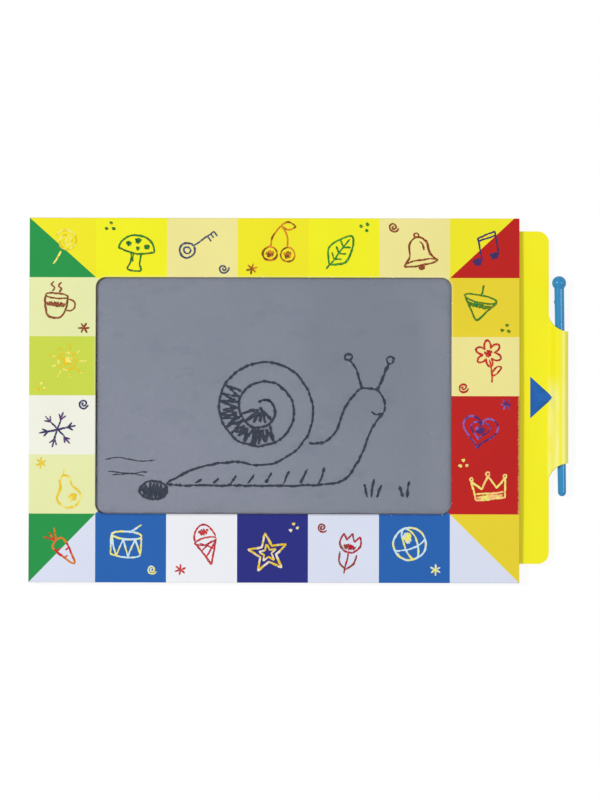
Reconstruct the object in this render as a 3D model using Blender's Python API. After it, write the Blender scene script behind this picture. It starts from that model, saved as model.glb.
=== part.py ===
"""Magic slate, in metres, +Z up and out of the drawing face, +X to the right of the picture and +Y to its top.

A card sleeve with a window holds a black waxed board with a grey film over it. The film clings to the wax where
the stylus presses, which draws a dark line. A plastic slider, die-cut from one sheet, runs in the sleeve: its bar
lies between film and wax, so pulling the tab lifts the film and clears the picture. The tab's tongue is rolled
into a loop that holds the stylus. The origin is under the middle of the whole part, on the surface it lies on.
"""

import math
from itertools import pairwise

import bmesh
import bpy
from mathutils import Vector

# Sleeve boards. The borders are what the front board leaves round the window.
SLEEVE_LENGTH = 0.2500
SLEEVE_HEIGHT = 0.1860
BACK_THICKNESS = 0.0015
FRONT_THICKNESS = 0.0012
TOP_BORDER = 0.0305
BOTTOM_BORDER = 0.0350
LEFT_BORDER = 0.0340
RIGHT_BORDER = 0.0347
WINDOW_CORNER = 0.0050
PRESSED_EDGE = 0.0002

# What lies between the boards, from the back to the front.
SEAT_GAP = 0.0003
WAX_BOARD_THICKNESS = 0.0006
FILM_THICKNESS = 0.00015
COVER_THICKNESS = 0.0002
COVER_LAP = 0.0080
LEFT_SPACER_WIDTH = 0.0120
MOUTH_INSET = 0.0015
STRIP_WIDTH = 0.0080
STRIP_MARGIN = 0.0020
FILM_SIDE_GAP = 0.0010

# Slider. Margins are from the sleeve's edges, and the root is the part of the tab that stays in the sleeve.
SLIDER_THICKNESS = 0.0006
TOP_MARGIN = 0.0064
BOTTOM_MARGIN = 0.0098
RUN_GAP = 0.0005
ARM_WIDTH = 0.0175
BAR_WIDTH = 0.0060
TAB_ROOT = 0.0120
TAB_REACH = 0.0152
TAB_CORNER = 0.0057
CUT_CORNER = 0.0030

# Loop: the tongue runs up over the stylus, round it and back under the tab, where it is welded.
LOOP_LENGTH = 0.0673
LOOP_NECK = 0.0024
TONGUE_FILLET = 0.0095
SIDE_PLAY = 0.0008
HEIGHT_PLAY = 0.00035
CREST_SHARE = 0.4
LAP_LENGTH = 0.0040
LAP_LEAD = 0.0005
LAP_GAP = 0.0001
WELD_INSET = 0.0010
FLOOR_GAP = 0.00015

# Stylus.
STYLUS_LENGTH = 0.1125
BALL_DIAMETER = 0.0072
ROD_DIAMETER = 0.0050
TIP_DIAMETER = 0.0042
NECK_FILLET = 0.0012
TIP_SHOWS = 0.0168
STYLUS_TILT = math.radians(0.8)

# Arrow label on the tab.
ARROW_LENGTH = 0.0118
ARROW_HEIGHT = 0.0213
ARROW_OFFSET = 0.0057
ARROW_POINT = 0.0003
LABEL_THICKNESS = 0.0001

# How finely curves are cut into straight runs.
CORNER_STEPS = 8
RAMP_STEPS = 12
BEND_STEPS = 20
RETURN_STEPS = 8
STYLUS_SIDES = 20
BALL_STEPS = 10
LABEL_STEPS = 6
MERGE_DISTANCE = 0.000001

# Heights of the layers.
WAX_LOW = BACK_THICKNESS + SEAT_GAP
WAX_HIGH = WAX_LOW + WAX_BOARD_THICKNESS
SLIDER_LOW = WAX_HIGH + SEAT_GAP
SLIDER_MIDDLE = SLIDER_LOW + SLIDER_THICKNESS / 2
SLIDER_HIGH = SLIDER_LOW + SLIDER_THICKNESS
FILM_LOW = SLIDER_HIGH + SEAT_GAP
COVER_LOW = FILM_LOW + FILM_THICKNESS + SEAT_GAP
FRONT_LOW = COVER_LOW + COVER_THICKNESS + SEAT_GAP
SPACER_THICKNESS = FRONT_LOW - WAX_LOW - SEAT_GAP

# Half sizes of the loop's middle line, and the places along X that follow from them.
BEND_WIDTH = ROD_DIAMETER / 2 + SIDE_PLAY + SLIDER_THICKNESS / 2
BEND_HEIGHT = ROD_DIAMETER / 2 + HEIGHT_PLAY + SLIDER_THICKNESS / 2
LOOP_REACH = TAB_REACH + LOOP_NECK + 2 * BEND_WIDTH + SLIDER_THICKNESS / 2
SLEEVE_LEFT = -(SLEEVE_LENGTH + LOOP_REACH) / 2
SLEEVE_RIGHT = SLEEVE_LEFT + SLEEVE_LENGTH
TAB_EDGE = SLEEVE_RIGHT + TAB_REACH
STYLUS_X = TAB_EDGE + LOOP_NECK + BEND_WIDTH
STYLUS_Z = FLOOR_GAP + max(BALL_DIAMETER / 2, BEND_HEIGHT + SLIDER_THICKNESS / 2)
RAMP_END = STYLUS_X - CREST_SHARE * BEND_WIDTH
LAP_MIDDLE = SLIDER_LOW - LAP_GAP - SLIDER_THICKNESS / 2

# Places along Y.
SLEEVE_TOP = SLEEVE_HEIGHT / 2
SLEEVE_BOTTOM = -SLEEVE_TOP
SLIDER_TOP = SLEEVE_TOP - TOP_MARGIN
SLIDER_BOTTOM = SLEEVE_BOTTOM + BOTTOM_MARGIN
SLIDER_Y = (SLIDER_TOP + SLIDER_BOTTOM) / 2
CUT_TOP = SLIDER_TOP - ARM_WIDTH
CUT_BOTTOM = SLIDER_BOTTOM + ARM_WIDTH

# Film strips, and the slider's bar and cut-out, which stop against them.
LEFT_STRIP = SLEEVE_LEFT + LEFT_SPACER_WIDTH + STRIP_MARGIN
BAR_LEFT = LEFT_STRIP + STRIP_WIDTH + RUN_GAP
CUT_LEFT = BAR_LEFT + BAR_WIDTH
CUT_RIGHT = SLEEVE_RIGHT - TAB_ROOT
RIGHT_STRIP = CUT_RIGHT - RUN_GAP - STRIP_WIDTH

# Window.
WINDOW_LEFT = SLEEVE_LEFT + LEFT_BORDER
WINDOW_RIGHT = SLEEVE_RIGHT - RIGHT_BORDER
WINDOW_TOP = SLEEVE_TOP - TOP_BORDER
WINDOW_BOTTOM = SLEEVE_BOTTOM + BOTTOM_BORDER

LEMON = (0.87, 0.80, 0.03)
GREYBOARD = (0.42, 0.39, 0.35)
WHITE_CARD = (0.80, 0.79, 0.76)
BLACK_WAX = (0.012, 0.013, 0.016)
GREY_FILM = (0.23, 0.26, 0.31)
CLEAR_FILM = (0.85, 0.88, 0.90)
TAPE = (0.62, 0.60, 0.55)
SLIDER_YELLOW = (0.86, 0.80, 0.02)
ARROW_BLUE = (0.03, 0.13, 0.42)
STYLUS_BLUE = (0.03, 0.25, 0.53)


def empty_the_scene():
    """Remove what a new file holds, so that only this part is in it."""
    for thing in list(bpy.data.objects):
        bpy.data.objects.remove(thing)


def surface(name, colour, roughness, alpha=1.0):
    """A plain coloured finish. An alpha below 1 lets what lies behind show."""
    material = bpy.data.materials.new(name)
    material.use_nodes = True
    shader = material.node_tree.nodes["Principled BSDF"]
    shader.inputs["Base Color"].default_value = (*colour, 1.0)
    shader.inputs["Roughness"].default_value = roughness
    shader.inputs["Metallic"].default_value = 0.0
    shader.inputs["Alpha"].default_value = alpha
    material.diffuse_color = (*colour, alpha)
    return material


def carrier(name, location, parent=None):
    """An empty that carries the pieces of one body."""
    holder = bpy.data.objects.new(name, None)
    bpy.context.scene.collection.objects.link(holder)
    holder.parent = parent
    holder.location = location
    return holder


def piece(name, bm, material, parent, location=(0, 0, 0), turn=0.0):
    """Make one named object from a finished mesh, at a place in its carrier's frame, turned about Z."""
    bmesh.ops.recalc_face_normals(bm, faces=bm.faces)
    mesh = bpy.data.meshes.new(name)
    bm.to_mesh(mesh)
    bm.free()
    mesh.materials.append(material)
    made = bpy.data.objects.new(name, mesh)
    bpy.context.scene.collection.objects.link(made)
    made.parent = parent
    made.location = location
    made.rotation_euler.z = turn
    return made


def outline(*corners):
    """Points of a closed outline, anticlockwise, from its corners. A corner is x, y and the radius of its arc."""
    points = []
    count = len(corners)
    for index, (x, y, radius) in enumerate(corners):
        here = Vector((x, y))
        if radius == 0:
            points.append(here)
            continue
        before = (Vector(corners[index - 1][:2]) - here).normalized()
        after = (Vector(corners[(index + 1) % count][:2]) - here).normalized()
        half = before.angle(after) / 2
        centre = here + (before + after).normalized() * radius / math.sin(half)
        start = here + before * radius / math.tan(half) - centre
        sweep = math.pi - 2 * half
        for step in range(CORNER_STEPS + 1):
            angle = sweep * step / CORNER_STEPS
            cos, sin = math.cos(angle), math.sin(angle)
            arc = Vector((start.x * cos - start.y * sin, start.x * sin + start.y * cos))
            points.append(centre + arc)
    return points


def rectangle(left, right, bottom, top, radius=0):
    """The outline of a rectangle with four like corners."""
    return outline((left, bottom, radius), (right, bottom, radius), (right, top, radius), (left, top, radius))


def plate(thickness, rim, *holes):
    """A flat sheet of the given thickness, from z = 0 up, with the outline of its rim and of each hole."""
    bm = bmesh.new()
    edges = []
    for points in (rim, *holes):
        verts = [bm.verts.new((point.x, point.y, 0)) for point in points]
        edges += [bm.edges.new(pair) for pair in pairwise([*verts, verts[0]])]
    bmesh.ops.triangle_fill(bm, use_beauty=True, edges=edges)
    bmesh.ops.recalc_face_normals(bm, faces=bm.faces)
    raised = bmesh.ops.extrude_face_region(bm, geom=bm.faces[:])
    lifted = [item for item in raised["geom"] if isinstance(item, bmesh.types.BMVert)]
    bmesh.ops.translate(bm, verts=lifted, vec=(0, 0, thickness))
    return bm


def press_edges(made):
    """Round the cut edges of a board as the die presses them."""
    bevel = made.modifiers.new("pressed edge", "BEVEL")
    bevel.width = PRESSED_EDGE
    bevel.segments = 2
    bevel.limit_method = "ANGLE"


def build_boards(sleeve):
    """The printed front board with its window, and the plain board behind."""
    outer = rectangle(SLEEVE_LEFT, SLEEVE_RIGHT, SLEEVE_BOTTOM, SLEEVE_TOP)
    window = rectangle(WINDOW_LEFT, WINDOW_RIGHT, WINDOW_BOTTOM, WINDOW_TOP, WINDOW_CORNER)
    front = plate(FRONT_THICKNESS, outer, window)
    press_edges(piece("front_frame", front, surface("printed card", LEMON, 0.45), sleeve, (0, 0, FRONT_LOW)))
    back = plate(BACK_THICKNESS, outer)
    press_edges(piece("back_board", back, surface("greyboard", GREYBOARD, 0.85), sleeve))


def build_spacers(sleeve):
    """Card strips along three edges. They leave a pocket that is open at the right."""
    card = surface("white card", WHITE_CARD, 0.8)
    place = (0, 0, WAX_LOW)
    low = SLIDER_BOTTOM - RUN_GAP
    high = SLIDER_TOP + RUN_GAP
    top = rectangle(SLEEVE_LEFT, SLEEVE_RIGHT, high, SLEEVE_TOP)
    bottom = rectangle(SLEEVE_LEFT, SLEEVE_RIGHT, SLEEVE_BOTTOM, low)
    left = rectangle(SLEEVE_LEFT, SLEEVE_LEFT + LEFT_SPACER_WIDTH, low + SEAT_GAP, high - SEAT_GAP)
    piece("spacer_top", plate(SPACER_THICKNESS, top), card, sleeve, place)
    piece("spacer_bottom", plate(SPACER_THICKNESS, bottom), card, sleeve, place)
    piece("spacer_left", plate(SPACER_THICKNESS, left), card, sleeve, place)


def build_screen(sleeve):
    """The waxed board, the grey film with the two strips that hold its ends, and the clear film in front."""
    wax_left = SLEEVE_LEFT + LEFT_SPACER_WIDTH + SEAT_GAP
    wax_low = SLIDER_BOTTOM - RUN_GAP + SEAT_GAP
    wax_high = SLIDER_TOP + RUN_GAP - SEAT_GAP
    wax = plate(WAX_BOARD_THICKNESS, rectangle(wax_left, SLEEVE_RIGHT - MOUTH_INSET, wax_low, wax_high))
    piece("wax_board", wax, surface("black wax", BLACK_WAX, 0.35), sleeve, (0, 0, WAX_LOW))

    film_low = CUT_BOTTOM + FILM_SIDE_GAP
    film_high = CUT_TOP - FILM_SIDE_GAP
    tape = surface("tape", TAPE, 0.7)
    strip_y = (CUT_BOTTOM + CUT_CORNER, CUT_TOP - CUT_CORNER)
    for name, left in (("film_strip_left", LEFT_STRIP), ("film_strip_right", RIGHT_STRIP)):
        strip = plate(SLIDER_THICKNESS, rectangle(left, left + STRIP_WIDTH, *strip_y))
        piece(name, strip, tape, sleeve, (0, 0, SLIDER_LOW))
    film = plate(FILM_THICKNESS, rectangle(LEFT_STRIP, RIGHT_STRIP + STRIP_WIDTH, film_low, film_high))
    piece("drawing_film", film, surface("grey film", GREY_FILM, 0.4), sleeve, (0, 0, FILM_LOW))

    cover_x = (WINDOW_LEFT - COVER_LAP, WINDOW_RIGHT + COVER_LAP)
    cover_y = (WINDOW_BOTTOM - COVER_LAP, WINDOW_TOP + COVER_LAP)
    cover = plate(COVER_THICKNESS, rectangle(*cover_x, *cover_y))
    piece("cover_film", cover, surface("clear film", CLEAR_FILM, 0.1, 0.15), sleeve, (0, 0, COVER_LOW))


def eased(share):
    """0 to 1 along an S curve that is level at both ends."""
    return share * share * (3 - 2 * share)


def tongue_line():
    """Middle line of the rolled tongue as (x, z) points, from the tab's edge to the end of the lap."""
    crest = STYLUS_Z + BEND_HEIGHT
    sole = STYLUS_Z - BEND_HEIGHT
    lap_start = TAB_EDGE + LAP_LEAD
    line = []
    # The ramp's points are closest at its foot, where the fillet at the tongue's root turns fastest.
    for step in range(RAMP_STEPS):
        share = 1 - math.cos(math.pi / 2 * step / RAMP_STEPS)
        line.append((TAB_EDGE + share * (RAMP_END - TAB_EDGE), SLIDER_MIDDLE + eased(share) * (crest - SLIDER_MIDDLE)))
    line.append((RAMP_END, crest))
    for step in range(BEND_STEPS + 1):
        angle = math.pi / 2 - math.pi * step / BEND_STEPS
        line.append((STYLUS_X + BEND_WIDTH * math.cos(angle), STYLUS_Z + BEND_HEIGHT * math.sin(angle)))
    for step in range(1, RETURN_STEPS + 1):
        share = step / RETURN_STEPS
        line.append((STYLUS_X + share * (lap_start - STYLUS_X), sole + eased(share) * (LAP_MIDDLE - sole)))
    line.append((TAB_EDGE - LAP_LENGTH, LAP_MIDDLE))
    return line


def normals_of(line):
    """Unit normals of a line of (x, z) points, on the side that faces out of the loop."""
    normals = []
    last = len(line) - 1
    for index in range(len(line)):
        start, end = line[max(index - 1, 0)], line[min(index + 1, last)]
        run = Vector((end[0] - start[0], end[1] - start[1])).normalized()
        normals.append(Vector((-run.y, run.x)))
    return normals


def tongue_half_width(out):
    """Half the tongue's width at a distance out from the tab's edge, into which it flares with a fillet."""
    left_to_turn = max(0, TONGUE_FILLET - out)
    return LOOP_LENGTH / 2 + TONGUE_FILLET - math.sqrt(TONGUE_FILLET**2 - left_to_turn**2)


def build_slider(slider):
    """One sheet: two arms, the bar between them at the far end, the tab, and the tongue rolled into a loop."""
    base = Vector((SLEEVE_RIGHT, SLIDER_Y, SLIDER_MIDDLE))
    line = [(x - base.x, z - base.z) for x, z in tongue_line()]
    normals = normals_of(line)
    normals[0] = Vector((0, 1))
    normals[-1] = Vector((0, -1))
    fold = max(range(len(line)), key=lambda index: line[index][0])
    edge = TAB_EDGE - base.x
    root = tongue_half_width(0)

    left = BAR_LEFT - base.x
    low = SLIDER_BOTTOM - base.y
    high = SLIDER_TOP - base.y
    rim = outline(
        (left, low, CUT_CORNER),
        (edge, low, TAB_CORNER),
        (edge, -root, 0),
        (edge, root, 0),
        (edge, high, TAB_CORNER),
        (left, high, CUT_CORNER),
    )
    cut = rectangle(
        CUT_LEFT - base.x, CUT_RIGHT - base.x, CUT_BOTTOM - base.y, CUT_TOP - base.y, CUT_CORNER
    )
    bm = plate(SLIDER_THICKNESS, rim, cut)
    bmesh.ops.translate(bm, verts=bm.verts, vec=(0, 0, -SLIDER_THICKNESS / 2))

    target = Vector((edge, 0, 0))
    face = min(bm.faces, key=lambda side: (side.calc_center_median() - target).length)
    roles = [(math.copysign(1, vert.co.y), math.copysign(1, vert.co.z)) for vert in face.verts]
    for index in range(1, len(line)):
        (x, z), normal = line[index], normals[index]
        half_width = tongue_half_width(x - edge) if index < fold else LOOP_LENGTH / 2
        face = bmesh.ops.extrude_discrete_faces(bm, faces=[face])["faces"][0]
        for vert, (side, skin) in zip(face.verts, roles):
            offset = normal * skin * SLIDER_THICKNESS / 2
            vert.co = (x + offset.x, side * half_width, z + offset.y)
    yellow = surface("yellow plastic", SLIDER_YELLOW, 0.25)
    sheet = piece("slider_sheet", bm, yellow, slider)

    weld_x = (edge - LAP_LENGTH + WELD_INSET, edge - WELD_INSET)
    weld_y = LOOP_LENGTH / 2 - WELD_INSET
    bead = plate(SLIDER_THICKNESS + LAP_GAP, rectangle(*weld_x, -weld_y, weld_y))
    weld = piece("weld_guide", bead, yellow, slider, (0, 0, -SLIDER_THICKNESS - LAP_GAP))
    weld.display_type = "WIRE"
    weld.hide_render = True
    join = sheet.modifiers.new("weld", "BOOLEAN")
    join.operation = "UNION"
    join.solver = "EXACT"
    join.object = weld


def point_along(line, distance):
    """The place, and the way along the line, at a distance from its start. A minus distance lies before it."""
    if distance <= 0:
        start = Vector(line[0])
        return start + Vector((distance, 0)), Vector((1, 0))
    for first, second in pairwise(line):
        run = Vector(second) - Vector(first)
        if distance <= run.length:
            break
        distance -= run.length
    return Vector(first) + run.normalized() * distance, run.normalized()


def build_arrow(slider):
    """A triangular label that shows which way to pull. Its point lies a little way up the loop's ramp."""
    base = Vector((SLEEVE_RIGHT, SLIDER_Y, SLIDER_MIDDLE))
    line = [(x - base.x, z - base.z) for x, z in tongue_line()]
    flat_run = TAB_REACH - ARROW_OFFSET
    slope_run = ARROW_LENGTH - flat_run
    distances = [-flat_run, 0]
    distances += [slope_run * step / LABEL_STEPS for step in range(1, LABEL_STEPS + 1)]
    low = SLIDER_THICKNESS / 2 + SEAT_GAP
    bm = bmesh.new()
    rings = []
    for distance in distances:
        place, along = point_along(line, distance)
        normal = Vector((-along.y, along.x))
        width = (slope_run - distance) / ARROW_LENGTH * (ARROW_HEIGHT - ARROW_POINT) + ARROW_POINT
        ring = []
        for side, lift in ((-1, low), (1, low), (1, low + LABEL_THICKNESS), (-1, low + LABEL_THICKNESS)):
            spot = place + normal * lift
            ring.append(bm.verts.new((spot.x, side * width / 2, spot.y)))
        rings.append(ring)
    for ring, following in pairwise(rings):
        for corner in range(4):
            beside = (corner + 1) % 4
            bm.faces.new((ring[corner], ring[beside], following[beside], following[corner]))
    bm.faces.new(rings[0])
    bm.faces.new(rings[-1])
    piece("arrow_label", bm, surface("blue label", ARROW_BLUE, 0.35), slider)


def stylus_profile():
    """Half outline of the stylus as (radius, distance along it), from the round tip to the top of the ball."""
    tip = TIP_DIAMETER / 2
    ball = BALL_DIAMETER / 2
    rod = ROD_DIAMETER / 2
    end = TIP_SHOWS + LOOP_LENGTH / 2
    ball_centre = STYLUS_LENGTH - end - ball
    profile = [
        (tip * math.sin(math.pi / 2 * step / BALL_STEPS), tip - end - tip * math.cos(math.pi / 2 * step / BALL_STEPS))
        for step in range(BALL_STEPS + 1)
    ]
    # The fillet's centre lies a fillet radius outside both the rod and the ball.
    across = rod + NECK_FILLET
    down = math.sqrt((ball + NECK_FILLET) ** 2 - across**2)
    touch = math.atan2(down, across)
    for step in range(BALL_STEPS // 2 + 1):
        angle = touch * step / (BALL_STEPS // 2)
        profile.append((across - NECK_FILLET * math.cos(angle), ball_centre - down + NECK_FILLET * math.sin(angle)))
    for step in range(1, BALL_STEPS + 1):
        angle = -touch + (touch + math.pi / 2) * step / BALL_STEPS
        profile.append((ball * math.cos(angle), ball_centre + ball * math.sin(angle)))
    return profile


def build_stylus(slider):
    """A turned rod with a round tip and a ball, leaning a little in its loop. Its origin is the loop's middle."""
    bm = bmesh.new()
    verts = [bm.verts.new((radius, along, 0)) for radius, along in stylus_profile()]
    edges = [bm.edges.new(pair) for pair in pairwise(verts)]
    whole = {"cent": (0, 0, 0), "axis": (0, 1, 0), "angle": math.tau, "steps": STYLUS_SIDES}
    bmesh.ops.spin(bm, geom=verts + edges, use_merge=True, **whole)
    bmesh.ops.remove_doubles(bm, verts=bm.verts, dist=MERGE_DISTANCE)
    place = (STYLUS_X - SLEEVE_RIGHT, 0, STYLUS_Z - SLIDER_MIDDLE)
    stylus = piece("stylus", bm, surface("blue plastic", STYLUS_BLUE, 0.2), slider, place, STYLUS_TILT)
    stylus.data.shade_smooth()


def build():
    empty_the_scene()
    sleeve = carrier("sleeve", (0, 0, 0))
    slider = carrier("slider", (SLEEVE_RIGHT, SLIDER_Y, SLIDER_MIDDLE), sleeve)
    build_boards(sleeve)
    build_spacers(sleeve)
    build_screen(sleeve)
    build_slider(slider)
    build_arrow(slider)
    build_stylus(slider)


build()
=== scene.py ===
"""Looks of the magic slate, in metres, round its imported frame.

+X is right, +Y is the picture's top and +Z points to the viewer. The sleeve's front is printed with coloured
blocks and crayon doodles, the grey film shows a drawing, and the yellow slider is one die-cut sheet whose
tongue is rolled round the stylus. The pieces come first, then finishes, drawings, light and camera.
"""

import math
from bisect import bisect_right
from functools import partial, reduce
from itertools import pairwise

import bmesh
import bpy
from mathutils import Matrix, Vector, noise


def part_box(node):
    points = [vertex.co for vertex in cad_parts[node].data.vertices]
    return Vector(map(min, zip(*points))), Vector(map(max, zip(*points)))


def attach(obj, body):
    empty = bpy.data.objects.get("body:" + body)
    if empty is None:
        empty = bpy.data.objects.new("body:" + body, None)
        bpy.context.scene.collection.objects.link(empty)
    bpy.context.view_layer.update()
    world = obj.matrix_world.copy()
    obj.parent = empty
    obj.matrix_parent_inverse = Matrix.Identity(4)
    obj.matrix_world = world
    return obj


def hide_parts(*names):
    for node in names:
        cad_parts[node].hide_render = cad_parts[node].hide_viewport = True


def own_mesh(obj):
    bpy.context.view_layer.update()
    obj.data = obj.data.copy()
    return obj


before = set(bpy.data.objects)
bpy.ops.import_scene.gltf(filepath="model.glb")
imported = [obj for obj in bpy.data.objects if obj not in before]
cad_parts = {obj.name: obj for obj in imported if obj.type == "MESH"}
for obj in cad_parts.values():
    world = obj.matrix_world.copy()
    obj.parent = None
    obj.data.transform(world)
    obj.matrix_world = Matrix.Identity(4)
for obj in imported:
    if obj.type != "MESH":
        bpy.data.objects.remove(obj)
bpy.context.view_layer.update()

# What the frame gives: the sleeve's outline and the heights of its layers.
FRONT_LOW, FRONT_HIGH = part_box("front_frame")
COVER_LOW, COVER_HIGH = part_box("cover_film")
FILM_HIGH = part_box("drawing_film")[1]
STRIP_LOW, STRIP_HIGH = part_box("film_strip_left")
SLIDER_LOW, SLIDER_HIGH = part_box("slider_sheet")
SLEEVE_LEFT, SLEEVE_BOTTOM = FRONT_LOW.xy
SLEEVE_RIGHT, SLEEVE_TOP = FRONT_HIGH.xy

# Window in the front board. The cover film laps it all round.
COVER_LAP = 0.0080
WINDOW_LEFT = COVER_LOW.x + COVER_LAP
WINDOW_RIGHT = COVER_HIGH.x - COVER_LAP
WINDOW_BOTTOM = COVER_LOW.y + COVER_LAP
WINDOW_TOP = COVER_HIGH.y - COVER_LAP
WINDOW_CORNER = 0.0050

# Printed blocks. The last column ends a little left of the window's edge, and the mitre at the top right a
# little left of the corner. The red end at the mouth wears off below a height, over a short fade.
BLOCKS_ACROSS = 5
BLOCKS_DOWN = 4
COLUMN_SHORT = 0.0007
BLOCKS_RIGHT = WINDOW_RIGHT - COLUMN_SHORT
MITRE_SHORT = 0.0026
WORN_RED = (0.020, 0.010)

# Front board's cut edges: rounded by the die on the printed side, nearly sharp behind and at the open end.
FACE_ROUNDING = 0.00058
BACK_ROUNDING_SHARE = 0.25
ROUNDING_STEPS = 5
SHARP_ANGLE = math.radians(50)
ARC_STEPS = 24

# The board bulges a little at the middle of its open end, where the pocket has no card to hold it.
BULGE = 0.0006
BULGE_ROWS = 16
BULGE_COLUMNS = 16
CUT_SLACK = 0.000001
CUT_REACH = 0.0000001

# Slider, die-cut flat from one sheet.
SHEET_THICKNESS = STRIP_HIGH.z - STRIP_LOW.z
SHEET_MIDDLE = (STRIP_HIGH.z + STRIP_LOW.z) / 2
SLIDER_Y = (SLIDER_LOW.y + SLIDER_HIGH.y) / 2
ARM_WIDTH = 0.0175
BAR_WIDTH = 0.0060
TAB_ROOT = 0.0120
TAB_REACH = 0.0152
TAB_CORNER = 0.0057
CUT_CORNER = 0.0030
TAB_EDGE = SLEEVE_RIGHT + TAB_REACH
EDGE_SOFTENING = 0.00012
EDGE_STEPS = 3

# Loop that the tongue is rolled into, and the stylus in it.
LOOP_LENGTH = 0.0673
LOOP_NECK = 0.0024
TONGUE_FILLET = 0.0095
SIDE_PLAY = 0.0008
HEIGHT_PLAY = 0.00035
CREST_SHARE = 0.4
LAP_LENGTH = 0.0040
LAP_LEAD = 0.0005
WELD_GAP = 0.00001
ROD_DIAMETER = 0.0050
BALL_DIAMETER = 0.0072
TIP_DIAMETER = 0.0042
NECK_FILLET = 0.0012
STYLUS_LENGTH = 0.1125
TIP_SHOWS = 0.0168
STYLUS_TILT = math.radians(0.8)
BEND_WIDTH = ROD_DIAMETER / 2 + SIDE_PLAY + SHEET_THICKNESS / 2
BEND_HEIGHT = ROD_DIAMETER / 2 + HEIGHT_PLAY + SHEET_THICKNESS / 2
STYLUS_X = TAB_EDGE + LOOP_NECK + BEND_WIDTH
STYLUS_Z = SLIDER_HIGH.z - SHEET_THICKNESS / 2 - BEND_HEIGHT
RAMP_END = STYLUS_X - CREST_SHARE * BEND_WIDTH
RAMP_STEPS = 30
BEND_STEPS = 48
RETURN_STEPS = 14
SHEET_ROWS = 44
FLAT_MARGIN = 0.0003

# Ripples left in the tongue by rolling it, highest at its lower end. They fade out at its root and round the
# loop. Between two heights, each with its fade, pale glare is painted on the ramp and the crest's painted
# highlight is stronger.
RIPPLE_HEIGHT = 0.00012
RIPPLE_LENGTH = 0.0060
RIPPLE_SLICE = 4.2
RIPPLE_MIDDLE = 1.35
RIPPLE_LEAST = 0.2
GLARE_TOP = (0.014, 0.004)
GLARE_BOTTOM = (-0.042, -0.036)

# Arrow printed on the tab.
ARROW_LENGTH = 0.0118
ARROW_HEIGHT = 0.0213
ARROW_OFFSET = 0.0057
INK_THICKNESS = 0.00002

# Stylus, as moulded: a gate mark under the ball and a parting line along both sides. Places along it are
# measured from the loop's middle.
STYLUS_BELOW = TIP_SHOWS + LOOP_LENGTH / 2
STYLUS_ABOVE = STYLUS_LENGTH - STYLUS_BELOW
STYLUS_SIDES = 64
STYLUS_RINGS = 90
BALL_RINGS = 60
GATE_RINGS = 5
GATE_HEIGHT = 0.00035
GATE_WIDTH = 0.0009
GATE_DROP = 0.0097
GATE_PLACE = STYLUS_ABOVE - BALL_DIAMETER / 2 - GATE_DROP
PARTING_HEIGHT = 0.00004
PARTING_FROM = 0.985
PARTING_SPAN = 0.015

# Strokes. Crayon lies on the printed face, and the slate's marks lie on the grey film under the cover. Each
# stroke lies a little above the one before and climbs on its way, so that strokes can cross.
CRAYON_WIDTH, CRAYON_PRESS = 0.00088, 0.5
MARK_WIDTH, MARK_PRESS, MARK_WOBBLE, MARK_SEED = 0.00122, 0.9, 0.0006, 300
STROKE_LIFT = 0.00001
STROKE_THICKNESS = 0.00003
STROKE_STEP = 0.0004
STROKE_RISE = 0.000005
STROKE_CLIMB = 0.0000004
MERGE_DISTANCE = 0.000001

# The hand: its shake and its finer tremor over lengths of the line, and how fast its pressure varies.
HAND_SEED = 11
SHAKE_LENGTH = 0.005
TREMOR_LENGTH = 0.0014
TREMOR_SHARE = 0.35
PRESS_PACE = 0.24

# Doodles: the length of a motif's unit, and how far they and their fillers stand off a block's middle.
DOODLE_SIZE = 0.0108
DOODLE_SHIFT = 0.0024
DOODLE_WOBBLE = 0.0004
FILLER_SIZE = 0.27
FILLER_REACH = 4.5


# Shapes


def outline(*corners):
    """Points of a closed outline, anticlockwise. A corner is x, y and the radius of its arc."""
    points = []
    count = len(corners)
    for index, (x, y, radius) in enumerate(corners):
        corner = Vector((x, y))
        if radius == 0:
            points.append(corner)
            continue
        before = (Vector(corners[index - 1][:2]) - corner).normalized()
        after = (Vector(corners[(index + 1) % count][:2]) - corner).normalized()
        half = before.angle(after) / 2
        centre = corner + (before + after).normalized() * radius / math.sin(half)
        start = corner + before * radius / math.tan(half) - centre
        sweep = math.pi - 2 * half
        for step in range(ARC_STEPS + 1):
            points.append(centre + Matrix.Rotation(sweep * step / ARC_STEPS, 2) @ start)
    return points


def rectangle(left, right, bottom, top, radius=0):
    """The outline of a rectangle with four like corners."""
    return outline((left, bottom, radius), (right, bottom, radius), (right, top, radius), (left, top, radius))


def flat_sheet(rim, *holes):
    """A flat mesh in the plane z = 0 with the outline of its rim and of each hole."""
    bm = bmesh.new()
    edges = []
    for points in (rim, *holes):
        verts = [bm.verts.new((point[0], point[1], 0)) for point in points]
        edges += [bm.edges.new(pair) for pair in pairwise([*verts, verts[0]])]
    bmesh.ops.triangle_fill(bm, use_beauty=True, edges=edges)
    bmesh.ops.recalc_face_normals(bm, faces=bm.faces)
    return bm


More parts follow.
